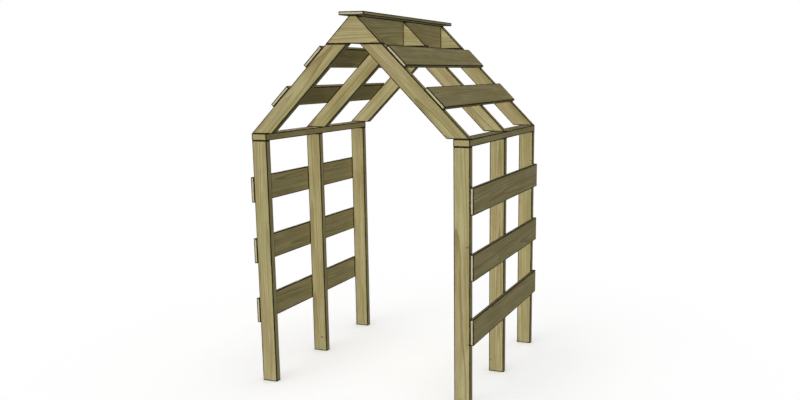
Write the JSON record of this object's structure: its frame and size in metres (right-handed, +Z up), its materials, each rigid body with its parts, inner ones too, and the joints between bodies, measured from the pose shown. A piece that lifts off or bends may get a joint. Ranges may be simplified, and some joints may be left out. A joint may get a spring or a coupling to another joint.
{
  "type": "garden arbor",
  "caption": "Open walk-through garden arbor of softwood lumber, with slatted sides for climbing plants and a slatted gable roof under a flat ridge cap.",
  "frame": {"origin": "on the ground, midway between the feet of the legs", "axes": "+X across the passage to the right as seen from the front, +Y through the passage from front to back, +Z up"},
  "size_m": [1.2896, 1.2318, 2.0258],
  "materials": {
    "framing_lumber": "planed pressure-treated softwood, unfinished",
    "slat_boards": "planed pressure-treated softwood board, unfinished",
    "deck_screws": "dull coated exterior screw"
  },
  "bodies": {
    "root": {"back_left_rafter": "framing_lumber", "back_peak_block": "framing_lumber", "back_ridge_board": "framing_lumber", "back_right_rafter": "framing_lumber", "front_left_rafter": "framing_lumber", "front_peak_block": "framing_lumber", "front_ridge_board": "framing_lumber", "front_right_rafter": "framing_lumber", "left_back_leg": "framing_lumber", "left_front_leg": "framing_lumber", "left_lower_roof_slat": "slat_boards", "left_lower_side_slat": "slat_boards", "left_middle_leg": "framing_lumber", "left_middle_side_slat": "slat_boards", "left_top_plate": "framing_lumber", "left_upper_roof_slat": "slat_boards", "left_upper_side_slat": "slat_boards", "middle_left_rafter": "framing_lumber", "middle_peak_block": "framing_lumber", "middle_right_rafter": "framing_lumber", "ridge_cap": "slat_boards", "right_back_leg": "framing_lumber", "right_front_leg": "framing_lumber", "right_lower_roof_slat": "slat_boards", "right_lower_side_slat": "slat_boards", "right_middle_leg": "framing_lumber", "right_middle_side_slat": "slat_boards", "right_top_plate": "framing_lumber", "right_upper_roof_slat": "slat_boards", "right_upper_side_slat": "slat_boards"}
  },
  "joints": []
}
